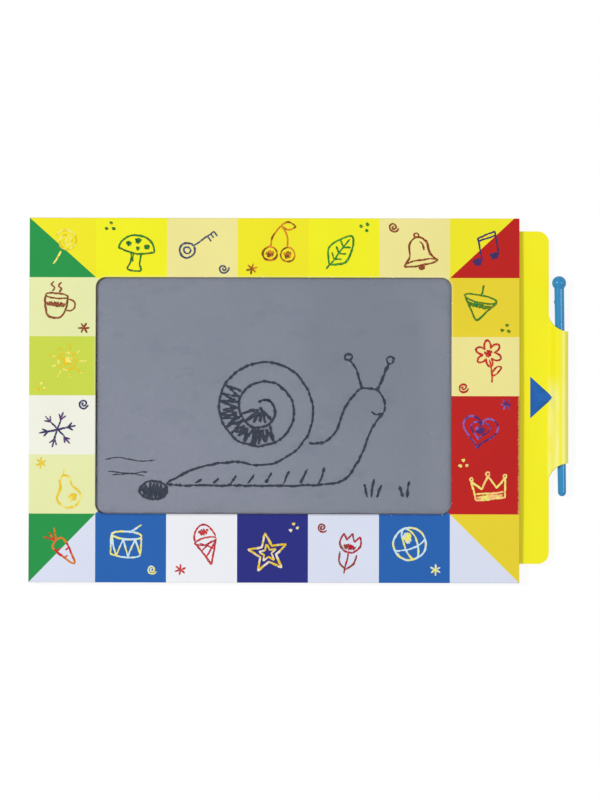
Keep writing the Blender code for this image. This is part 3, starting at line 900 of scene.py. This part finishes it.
# Hand-drawn strokes. A motif is a list of strokes, each a list of points, about one unit from its middle.


def on_circle(angle, radius=1.0, middle=(0, 0)):
    """The point at an angle in degrees round a circle."""
    turn = math.radians(angle)
    return (middle[0] + radius * math.cos(turn), middle[1] + radius * math.sin(turn))


def arc(x, y, wide, high, start=0, end=360):
    """Points along an ellipse's arc, in degrees."""
    count = max(6, round(abs(end - start) / 12))
    turns = [math.radians(start + (end - start) * step / count) for step in range(count + 1)]
    return [(x + wide * math.cos(turn), y + high * math.sin(turn)) for turn in turns]


def curve(*points):
    """A smooth line through a few points."""
    ends = [points[0], *points, points[-1]]
    line = []
    for before, first, second, after in zip(ends, ends[1:], ends[2:], ends[3:]):
        for step in range(8):
            t = step / 8
            line.append(tuple(
                0.5 * (2 * b + (c - a) * t + (2 * a - 5 * b + 4 * c - d) * t**2
                       + (3 * b - a - 3 * c + d) * t**3)
                for a, b, c, d in zip(before, first, second, after)
            ))
    return [*line, points[-1]]


def closed(*points):
    """Straight runs from point to point and back to the first."""
    return [*points, points[0]]


def mirrored(*points):
    """Points, then their mirror images from the last to the first. Those in the middle come once."""
    return [*points, *[(-x, y) for x, y in reversed(points) if x != 0]]


def scribble(x, y, wide, high, turns=4):
    """A zigzag that fills an ellipse."""
    line = []
    for step in range(2 * turns + 1):
        share = step / turns - 1
        reach = math.sqrt(1 - share * share) * (1 if step % 2 else -1)
        line.append((x + wide * share, y + high * reach))
    return line


def sun():
    rays = []
    for angle in range(0, 360, 40):
        rays.append([on_circle(angle, 0.6), on_circle(angle, 0.84 + 0.16 * (angle % 80 == 0))])
    return [arc(0, 0, 0.45, 0.45), scribble(0, 0, 0.26, 0.26), *rays]


def star():
    points = [on_circle(90 + 36 * step, 0.42 if step % 2 else 1.0) for step in range(10)]
    return [closed(*points), closed(*[(0.45 * x, 0.45 * y) for x, y in points])]


def heart():
    edge = []
    for step in range(41):
        turn = math.tau * step / 40
        height = 13 * math.cos(turn) - 5 * math.cos(2 * turn) - 2 * math.cos(3 * turn) - math.cos(4 * turn)
        edge.append((math.sin(turn) ** 3, height / 16))
    return [edge, [(0.55 * x, 0.55 * y + 0.04) for x, y in edge], scribble(0, 0.0, 0.3, 0.2, 5)]


def daisy():
    petals = []
    for angle in range(0, 361, 6):
        petals.append(on_circle(angle, 0.28 + 0.36 * abs(math.sin(math.radians(3 * angle))), (0, 0.4)))
    leaf = curve((0.02, -0.55), (0.3, -0.3), (0.52, -0.35), (0.3, -0.6), (0.02, -0.7))
    return [petals, scribble(0, 0.4, 0.18, 0.18), curve((0, 0.1), (0.05, -0.4), (-0.02, -1.0)), leaf]


def tulip():
    cup = curve(*mirrored((-0.4, 0.9), (-0.5, 0.45), (-0.25, 0.1), (0, 0.05)))
    teeth = mirrored((0.4, 0.9), (0.18, 0.6), (0, 0.95))
    leaves = [curve((0, -0.8), (side * 0.35, -0.45), (side * 0.42, 0.0)) for side in (-1, 1)]
    return [cup, teeth, scribble(0, 0.3, 0.3, 0.14, 6), [(0, 0.05), (0, -1)], *leaves]


def mushroom():
    cap = [*arc(0, 0.1, 0.9, 0.75, 0, 180), *curve((-0.9, 0.1), (0, -0.08), (0.9, 0.1))]
    stem = curve(*mirrored((-0.28, 0.0), (-0.22, -0.5), (-0.32, -0.9)))
    spots = ((-0.45, 0.38, 0.13), (0.02, 0.58, 0.14), (0.48, 0.33, 0.12), (0.05, 0.2, 0.09))
    return [cap, stem, *[scribble(x, y, size, size) for x, y, size in spots], [(-0.15, -0.1), (-0.12, -0.5)]]


def key():
    teeth = [[(0.55, 0), (0.55, -0.3)], [(0.75, 0), (0.75, -0.24)], [(0.95, 0), (0.95, -0.3)]]
    return [arc(-0.6, 0, 0.36, 0.36), arc(-0.6, 0, 0.16, 0.16), [(-0.24, 0), (1.0, 0)], *teeth]


def lollipop():
    swirl = [on_circle(angle, 0.6 * angle / 900, (0, 0.4)) for angle in range(0, 901, 15)]
    return [swirl, [(0, -0.2), (0.02, -1.0)]]


def leaf():
    edge = curve(*closed(*mirrored((0, -0.75), (-0.5, -0.2), (-0.42, 0.4), (0, 1.0))))
    veins = [[(0, y), (side * 0.3, y + 0.22)] for y in (-0.4, -0.05, 0.3) for side in (-1, 1)]
    return [edge, [(0, -1.0), (0, 0.8)], *veins]


def snowflake():
    arms = []
    for angle in range(0, 180, 60):
        arms.append([on_circle(angle), on_circle(angle + 180)])
    for angle in range(0, 360, 60):
        arms.append([on_circle(angle + 14, 0.85), on_circle(angle, 0.55), on_circle(angle - 14, 0.85)])
    return arms


def cherries():
    stems = [curve((-0.4, -0.15), (-0.2, 0.4), (0.25, 0.85)), curve((0.45, -0.3), (0.5, 0.3), (0.25, 0.85))]
    leaf_edge = curve((0.25, 0.85), (0.6, 0.98), (0.95, 0.75), (0.6, 0.62), (0.25, 0.85))
    shade = [scribble(-0.45, -0.5, 0.2, 0.17), scribble(0.42, -0.64, 0.2, 0.17)]
    return [arc(-0.45, -0.48, 0.36, 0.34), arc(0.42, -0.62, 0.36, 0.34), *stems, leaf_edge, *shade]


def cup():
    side = curve((-0.65, 0.3), (-0.6, -0.3), (-0.35, -0.75), (0.2, -0.75), (0.42, -0.3), (0.48, 0.3))
    steam = [curve((x, 0.5), (x + 0.1, 0.68), (x - 0.06, 0.82), (x + 0.06, 1.0)) for x in (-0.35, 0.0)]
    band = scribble(-0.09, -0.12, 0.5, 0.13, 9)
    return [side, arc(-0.08, 0.3, 0.57, 0.12), arc(0.55, -0.1, 0.3, 0.28, 100, -110), band, *steam]


def bell():
    side = curve(*mirrored((-0.85, -0.5), (-0.5, -0.1), (-0.42, 0.5), (0, 0.8)))
    shine = curve((0.1, 0.55), (0.22, 0.4), (0.24, 0.1))
    return [side, arc(0, -0.5, 0.85, 0.13), scribble(0, -0.75, 0.17, 0.13), arc(0, 0.9, 0.11, 0.11), shine]


def ball():
    seams = [arc(0, 0, 0.3, 0.85, 90, 270), arc(0, 0, 0.4, 0.85, -90, 90), arc(0, 0, 0.85, 0.25, 180, 360)]
    return [arc(0, 0, 0.85, 0.85), *seams, scribble(0.0, 0.32, 0.22, 0.3)]


def ice_cream():
    cone = [(-0.48, 0.1), (0, -1.0), (0.48, 0.1)]
    waffle = [[(-0.3, -0.3), (0.3, 0.08)], [(-0.17, -0.62), (0.42, -0.05)], [(0.3, -0.3), (-0.3, 0.08)]]
    top = [arc(0, 0.12, 0.5, 0.16), arc(0, 0.15, 0.5, 0.75, 5, 175), scribble(0, 0.55, 0.24, 0.14)]
    return [cone, *waffle, *top]


def note():
    heads = [scribble(-0.5, -0.65, 0.24, 0.18), scribble(0.42, -0.48, 0.24, 0.18)]
    return [*heads, [(-0.27, -0.62), (-0.27, 0.6), (0.65, 0.8), (0.65, -0.45)], [(-0.27, 0.38), (0.65, 0.58)]]


def pear():
    edge = curve(*closed(*mirrored((0, 0.72), (-0.25, 0.5), (-0.3, 0.1), (-0.6, -0.4), (-0.3, -0.88))))
    return [edge, curve((0, 0.72), (0.05, 0.88), (0.16, 1.0)), scribble(0.18, -0.48, 0.24, 0.2)]


def crown():
    edge = closed(*mirrored((-0.75, -0.5), (-0.88, 0.5), (-0.4, 0.05), (0, 0.7)))
    knobs = [arc(x, y, 0.09, 0.09) for x, y in ((-0.88, 0.62), (0, 0.82), (0.88, 0.62))]
    return [edge, [(-0.74, -0.2), (0.74, -0.2)], scribble(0, -0.36, 0.68, 0.09, 12), *knobs]


def drum():
    cords = [(-0.75, 0.35), (-0.45, -0.6), (-0.15, 0.2), (0.15, -0.62), (0.45, 0.22), (0.75, -0.5)]
    sides = [[(-0.75, 0.4), (-0.75, -0.5)], [(0.75, 0.4), (0.75, -0.5)]]
    rims = [arc(0, 0.4, 0.75, 0.2), arc(0, -0.5, 0.75, 0.2, 180, 360)]
    return [*rims, *sides, cords, [(0.1, 0.55), (0.7, 0.98)]]


def spinning_top():
    body = curve(*mirrored((-0.85, 0.2), (-0.45, -0.35), (0, -0.9)))
    band = scribble(0, -0.16, 0.55, 0.12, 10)
    return [body, arc(0, 0.2, 0.85, 0.2), [(0, 0.38), (0, 0.95)], arc(0, 0.02, 0.72, 0.16, 190, 350), band]


def carrot():
    body = curve(*closed(*mirrored((-0.35, 0.35), (-0.25, -0.3), (0, -1.0)), (0, 0.48)))
    marks = [[(-0.28, 0.05), (-0.05, 0.02)], [(0.25, -0.2), (0.05, -0.22)], [(-0.18, -0.45), (0, -0.48)]]
    greens = [curve((0, 0.45), (x / 2, 0.72), (x, 1.0)) for x in (-0.35, 0, 0.35)]
    return [body, *marks, *greens]


def dots():
    return [scribble(x, y, 0.26, 0.26, 3) for x, y in ((-0.6, -0.4), (0.6, -0.3), (0.05, 0.6))]


def swirl():
    return [[on_circle(angle, 0.9 * angle / 700) for angle in range(0, 701, 25)]]


def sparkle():
    return [[on_circle(angle), on_circle(angle + 180)] for angle in (10, 70, 130)]


# Small marks that fill out a block, each in turn.
FILLERS = (dots, swirl, sparkle)

# Crayon inks. A doodle's line wanders between its two.
GREEN_DARK, GREEN_DEEP = tint(30, 120, 44), tint(18, 92, 46)
GREEN_MID, OLIVE = tint(66, 150, 40), tint(78, 116, 34)
SLATE_BLUE, INK_BLUE = tint(64, 74, 110), tint(42, 48, 92)
PLUM, VIOLET = tint(76, 40, 104), tint(136, 96, 176)
BROWN, BRICK = tint(128, 66, 26), tint(138, 48, 24)
SCARLET, CRIMSON = tint(196, 40, 34), tint(170, 24, 40)
ORANGE, PEACH = tint(214, 128, 40), tint(246, 196, 126)
GOLD, STRAW = tint(232, 196, 24), tint(240, 232, 120)
PALE_BLUE, PALE_CREAM = tint(206, 230, 236), tint(240, 226, 196)

# Every doodle: its motif, its side of the border, its block along that side, its two inks, its size and its
# turn. The last three stand in corners.
DOODLES = (
    (mushroom, "top", 0, GREEN_DARK, GREEN_DEEP, 0.95, -8),
    (key, "top", 1, SLATE_BLUE, INK_BLUE, 1.0, 35),
    (cherries, "top", 2, BROWN, ORANGE, 0.95, 6),
    (leaf, "top", 3, GREEN_MID, GREEN_DARK, 1.0, -38),
    (bell, "top", 4, BRICK, BROWN, 0.95, 10),
    (cup, "left", 0, BROWN, BRICK, 0.95, -6),
    (sun, "left", 1, STRAW, GOLD, 0.92, 0),
    (snowflake, "left", 2, INK_BLUE, PLUM, 0.88, 12),
    (pear, "left", 3, GOLD, STRAW, 0.95, 14),
    (spinning_top, "right", 0, OLIVE, GREEN_DARK, 0.92, -12),
    (daisy, "right", 1, CRIMSON, SCARLET, 0.98, 8),
    (heart, "right", 2, VIOLET, PLUM, 0.82, -10),
    (crown, "right", 3, PEACH, STRAW, 0.9, 6),
    (drum, "bottom", 0, PALE_BLUE, STRAW, 0.95, -5),
    (ice_cream, "bottom", 1, SCARLET, CRIMSON, 1.0, 14),
    (star, "bottom", 2, PALE_CREAM, GOLD, 0.95, 8),
    (tulip, "bottom", 3, CRIMSON, BRICK, 0.98, -12),
    (ball, "bottom", 4, PALE_BLUE, STRAW, 0.9, 20),
    (lollipop, "top_left", 0, STRAW, GOLD, 0.9, -30),
    (note, "top_right", 0, PLUM, INK_BLUE, 0.9, 10),
    (carrot, "bottom_left", 0, SCARLET, ORANGE, 0.95, 40),
)


def hand_drawn(points, wobble, seed):
    """A stroke's points at even steps along it, shaken a little as a hand does."""
    runs = [(Vector(first), Vector(second)) for first, second in pairwise(points)]
    total = sum((second - first).length for first, second in runs)
    count = max(3, round(total / STROKE_STEP))
    line = []
    index = 0
    passed = 0.0
    for place in range(count + 1):
        distance = total * place / count
        while index < len(runs) - 1 and passed + (runs[index][1] - runs[index][0]).length < distance:
            passed += (runs[index][1] - runs[index][0]).length
            index += 1
        first, second = runs[index]
        length = max((second - first).length, 1e-9)
        spot = first.lerp(second, min((distance - passed) / length, 1))
        shake = noise.noise_vector(Vector((distance / SHAKE_LENGTH, seed * 1.7, 0.3))).xy
        tremor = noise.noise_vector(Vector((distance / TREMOR_LENGTH, seed * 2.3, 7.1))).xy
        line.append(spot + shake * wobble + tremor * wobble * TREMOR_SHARE)
    return line


def add_stroke(bm, line, width, press, low, seed):
    """Add one stroke as a thin closed ribbon that narrows at both ends. Its sides never run back in a bend.

    Press is how much its width varies with the hand's pressure.
    """
    last = len(line) - 1
    rings = []
    edges = None
    for index, place in enumerate(line):
        run = (line[min(index + 1, last)] - line[max(index - 1, 0)]).normalized()
        across = Vector((-run.y, run.x))
        share = 1 + press * noise.noise(Vector((index * PRESS_PACE, seed * 3.1, 1.9)))
        taper = min(1, 0.5 + 0.25 * index, 0.5 + 0.25 * (last - index))
        reach = across * width / 2 * share * taper
        sides = [place - reach, place + reach]
        if edges:
            sides = [side if (side - edge).dot(run) > 0 else edge for side, edge in zip(sides, edges)]
        edges = sides
        under = low + STROKE_CLIMB * index
        over = under + STROKE_THICKNESS
        corners = ((edges[0], under), (edges[1], under), (edges[1], over), (edges[0], over))
        ring = [bm.verts.new((spot.x, spot.y, level + bulge(spot.x, spot.y))) for spot, level in corners]
        rings.append(ring)
    skin(bm, rings)
    bm.faces.new(rings[0])
    bm.faces.new(rings[-1])


def drawn(strokes, width, press, low, wobble, seed):
    """A mesh of hand-drawn strokes, each lying a little higher than the one before."""
    bm = bmesh.new()
    for number, points in enumerate(strokes):
        line = hand_drawn(points, wobble, seed + number)
        add_stroke(bm, line, width, press, low + STROKE_RISE * number, seed + number)
    bmesh.ops.remove_doubles(bm, verts=bm.verts, dist=MERGE_DISTANCE)
    return bm


def block_middle(side, index):
    """The middle of a block of the border. A corner block's side names both the sides that it is on."""
    x = WINDOW_LEFT + (BLOCKS_RIGHT - WINDOW_LEFT) / BLOCKS_ACROSS * (index + 0.5)
    y = WINDOW_TOP - (WINDOW_TOP - WINDOW_BOTTOM) / BLOCKS_DOWN * (index + 0.5)
    if "left" in side:
        x = (WINDOW_LEFT + SLEEVE_LEFT) / 2
    if "right" in side:
        x = (BLOCKS_RIGHT + SLEEVE_RIGHT) / 2
    if "top" in side:
        y = (WINDOW_TOP + SLEEVE_TOP) / 2
    if "bottom" in side:
        y = (WINDOW_BOTTOM + SLEEVE_BOTTOM) / 2
    return Vector((x, y))


def placed(motif, middle, size, turn):
    """A motif's strokes at a place on the sleeve, at a size and a turn in degrees."""
    spin = Matrix.Rotation(math.radians(turn), 2)
    return [[middle + spin @ Vector(point) * DOODLE_SIZE * size for point in stroke] for stroke in motif()]


def build_doodles():
    """The crayon doodles of the border, each with its first stroke gone over twice.

    In a block a doodle stands a little off the middle, one way or the other in turn, and a small mark fills
    the free corner. In a corner block it has neither.
    """
    papers = {"top": TOP_INKS, "bottom": BOTTOM_INKS, "left": LEFT_INKS, "right": RIGHT_INKS}
    low = FRONT_HIGH.z + STROKE_LIFT
    for seed, (motif, side, index, ink, accent, size, turn) in enumerate(DOODLES):
        name = f"doodle_{side}_{motif.__name__}"
        middle = block_middle(side, index)
        paper = ink
        strokes = placed(motif, middle, size, turn)
        if side in papers:
            paper = papers[side][index + 1]
            away = Vector((DOODLE_SHIFT, -DOODLE_SHIFT if seed % 4 < 2 else DOODLE_SHIFT))
            away *= -1 if seed % 2 else 1
            filler = FILLERS[seed % len(FILLERS)]
            strokes = placed(motif, middle + away, size, turn)
            strokes += placed(filler, middle - away * FILLER_REACH, FILLER_SIZE, turn)
        bm = drawn([strokes[0], *strokes], CRAYON_WIDTH, CRAYON_PRESS, low, DOODLE_WOBBLE, seed * 13)
        made_piece(name, bm, crayon(name, ink, accent, paper), "sleeve")


# The drawing on the film: its middle in metres, and the rest in millimetres from there. The shell's spiral
# winds in from its radius as the angle grows from start to end.
DRAWING_MIDDLE = Vector((-0.0130, -0.0085))
SHELL_MIDDLE = (-6, 4)
SHELL_RADIUS = 29
SHELL_SHRINKS = 25.5
SHELL_START, SHELL_END = -100, 840


def shell_radius(angle):
    """Radius of the shell's spiral at an angle in degrees."""
    return SHELL_RADIUS - SHELL_SHRINKS * (angle - SHELL_START) / (SHELL_END - SHELL_START)


def shell_scribble(start, end, step, inner, outer):
    """A zigzag between two turns of the spiral."""
    points = []
    for number, angle in enumerate(range(start, end, step)):
        turn_in = shell_radius(angle + 360)
        share = (outer if number % 2 else inner) + 0.12 * math.sin(number * 2.4)
        points.append(on_circle(angle, turn_in + (shell_radius(angle) - turn_in) * share, SHELL_MIDDLE))
    return points


def snail():
    """A snail, its shell and the stone behind it shaded in scribbles."""
    angles = range(SHELL_START, SHELL_END + 1, 6)
    shell = [on_circle(angle, shell_radius(angle), SHELL_MIDDLE) for angle in angles]
    tail = [(-11, -24.6), (-22, -23), (-38, -26), (-53, -33)]
    back = curve(*tail, (-50, -35), (-30, -35), (10, -35), (34, -33), (44, -22))
    neck = curve((44, -22), (50, -6), (57, 4), (54, 13), (44, 14), (37, 5), (32, -7), (26, -13), (18, -13))
    horns = [curve((45, 14), (43, 22), (39, 29)), curve((53, 13), (56, 21), (59, 27))]
    tips = [arc(38.4, 30.6, 1.9, 1.7), arc(59.6, 28.8, 1.7, 1.9)]
    mouth = curve((56, 2), (52, 1), (50, 3))
    shade = [
        shell_scribble(140, 302, 6, 0.1, 0.92),
        shell_scribble(160, 296, 9, 0.2, 0.85),
        shell_scribble(540, 690, 12, 0.15, 0.85),
    ]
    shade += [[(x, -34), (x + 3.5, -28 + 0.1 * x)] for x in range(-40, 30, 9)]
    stone = [arc(-61, -37.5, 7.2, 4.6, 20, 385)]
    stone += [scribble(-61, -38, 6.6, 4.2, 7), scribble(-60, -38.6, 5.6, 3, 4)]
    grass = []
    for x, lean, height in ((48, -2, 7), (50.5, 0.6, 9.5), (53, 2.5, 6), (66, -1.5, 6), (68, 1.8, 8)):
        grass.append(curve((x, -41), (x + lean / 3, -41 + height / 2), (x + lean, -41 + height)))
    return [shell, back, neck, mouth, *horns, *tips, *shade, *stone, *grass]


def trail():
    """Thin faint lines that the snail leaves behind."""
    return [
        curve((-86, -22), (-78, -21), (-68, -23), (-60, -22)),
        curve((-84, -28), (-76, -29), (-64, -28)),
        curve((-82, -29.5), (-74, -29), (-66, -30)),
    ]


def build_drawing(mark):
    """The picture on the film, as it lies before the slider is pulled to clear it."""
    low = FILM_HIGH.z + STROKE_LIFT
    pictures = (("slate_drawing", snail, MARK_WIDTH), ("slate_trail", trail, MARK_WIDTH / 2))
    for name, picture, width in pictures:
        strokes = [[DRAWING_MIDDLE + Vector(point) / 1000 for point in stroke] for stroke in picture()]
        bm = drawn(strokes, width, MARK_PRESS, low, MARK_WOBBLE, MARK_SEED)
        made = made_piece(name, bm, mark, "sleeve")
        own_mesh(made)


# Light, floor and camera


def lamp(name, place, level, width, height):
    """A softbox that lights a white card at the middle to a level, where 1 would be full white."""
    place = Vector(place)
    data = bpy.data.lights.new(name, "AREA")
    data.shape = "RECTANGLE"
    data.size, data.size_y = width, height
    data.energy = level * math.pi**2 * place.length**2 / (place.z / place.length)
    made = added(name, data)
    made.location = place
    made.rotation_euler = (-place).to_track_quat("-Z", "Y").to_euler()


def is_ray(tree, *kinds):
    """1 for rays of the given kinds."""
    path = node(tree, "LightPath", {})
    return reduce(larger, [path.outputs[f"Is {kind} Ray"] for kind in kinds])


def seen(tree):
    """1 for what the camera sees itself, in a mirror or through glass."""
    return is_ray(tree, "Camera", "Glossy", "Transmission")


def build_world(level):
    """A white background that lights the object at a plain level."""
    world = bpy.data.worlds.new("studio")
    bpy.context.scene.world = world
    world.use_nodes = True
    light = world.node_tree.nodes["Background"]
    light.inputs["Color"].default_value = (1, 1, 1, 1)
    feed(light.inputs["Strength"], mixed_number(seen(world.node_tree), level, 1.0))


def build_floor():
    """A white floor that keeps the object's shadow, and lets the world's light through from below."""
    made, tree = new_finish("floor")
    under = node(tree, "NewGeometry", {}).outputs["Backfacing"]
    alpha = minus(1.0, larger(under, is_ray(tree, "Diffuse", "Shadow")))
    glow = {"Emission_Color": (1, 1, 1, 1), "Emission_Strength": mixed_number(seen(tree), 0.0, 0.885)}
    dress(made, (0.13, 0.13, 0.13, 1), 0.9, gloss=0.0, Alpha=alpha, **glow)
    bm = bmesh.new()
    bmesh.ops.create_grid(bm, x_segments=4, y_segments=4, size=4)
    bmesh.ops.translate(bm, verts=bm.verts, vec=(0, 0, -0.0002))
    added_mesh("floor", bm, made)


def build_camera():
    """Straight above, turned and tilted by the little that the photograph's edges show."""
    picture_height = 0.40776
    distance = 1.5
    target = Vector((0.0006, 0.0001, FRONT_HIGH.z))
    tilt = Matrix.Rotation(math.radians(1.2), 3, "X")
    turn = Matrix.Rotation(math.radians(0.12), 3, "Z")
    data = bpy.data.cameras.new("camera")
    data.sensor_width = 36
    data.lens = data.sensor_width * distance / picture_height
    camera = added("camera", data)
    camera.location = target + tilt @ Vector((0, 0, distance))
    camera.rotation_euler = (tilt @ turn).to_euler()
    bpy.context.scene.camera = camera


def build():
    """The whole scene. The seed makes the hand's shake the same in every run."""
    noise.seed_set(HAND_SEED)
    build_front(printed_card())
    build_slider(yellow_plastic())
    build_arrow(blue_print())
    build_stylus(blue_plastic())
    build_doodles()
    build_drawing(slate_mark())
    finishes = {
        greyboard: ["back_board"],
        layered_card: ["spacer_top", "spacer_bottom", "spacer_left"],
        black_wax: ["wax_board"],
        grey_film: ["drawing_film"],
        clear_film: ["cover_film"],
        paper_tape: ["film_strip_left", "film_strip_right"],
    }
    for finish, names in finishes.items():
        material = finish()
        for name in names:
            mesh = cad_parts[name].data
            mesh.materials.clear()
            mesh.materials.append(material)
    build_world(level=0.56)
    lamp("key_left", place=(-1.40, 0.36, 1.70), level=0.33, width=0.13, height=0.13)
    lamp("fill_right", place=(1.45, 0.04, 1.60), level=0.11, width=0.55, height=0.90)
    build_floor()
    build_camera()


build()
bpy.context.scene.view_settings.view_transform = "Standard"
